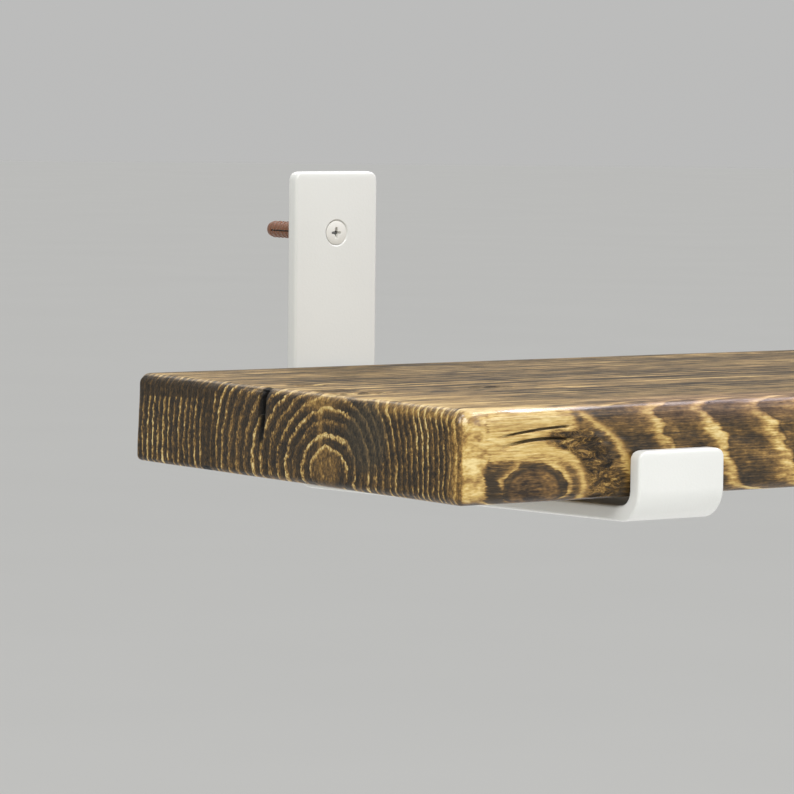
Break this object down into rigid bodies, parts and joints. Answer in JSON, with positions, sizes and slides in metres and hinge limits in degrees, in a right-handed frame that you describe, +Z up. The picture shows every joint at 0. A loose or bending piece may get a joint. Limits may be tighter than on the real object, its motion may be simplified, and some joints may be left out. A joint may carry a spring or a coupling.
{
  "type": "wall shelf",
  "caption": "Wall shelf: a thick dark-stained softwood board cradled by white bent flat-bar brackets with an upright on the wall and a small lip in front.",
  "frame": {"origin": "on the wall face, at mid-length, level with the underside of the board", "axes": "+X along the board to the right as seen from the room, +Y into the wall, +Z up; the room is on the -Y side"},
  "size_m": [0.6, 0.2776, 0.1275],
  "materials": {
    "stained_pine": "dark-stained and waxed softwood, satin, strong growth-ring grain",
    "white_powder_coat": "satin white powder coat on steel bar",
    "white_painted_steel": "white-painted screw heads",
    "zinc_plated_steel": "bright zinc-plated screws",
    "brown_nylon": "moulded nylon"
  },
  "bodies": {
    "root": {"board": "stained_pine", "bracket_left": "white_powder_coat", "bracket_right": "white_powder_coat", "wall_screw_left_upper": "white_painted_steel", "wall_plug_left_upper": "brown_nylon", "wall_screw_left_lower": "white_painted_steel", "wall_plug_left_lower": "brown_nylon", "board_screw_left_rear": "zinc_plated_steel", "board_screw_left_front": "zinc_plated_steel", "wall_screw_right_upper": "white_painted_steel", "wall_plug_right_upper": "brown_nylon", "wall_screw_right_lower": "white_painted_steel", "wall_plug_right_lower": "brown_nylon", "board_screw_right_rear": "zinc_plated_steel", "board_screw_right_front": "zinc_plated_steel"}
  },
  "joints": []
}
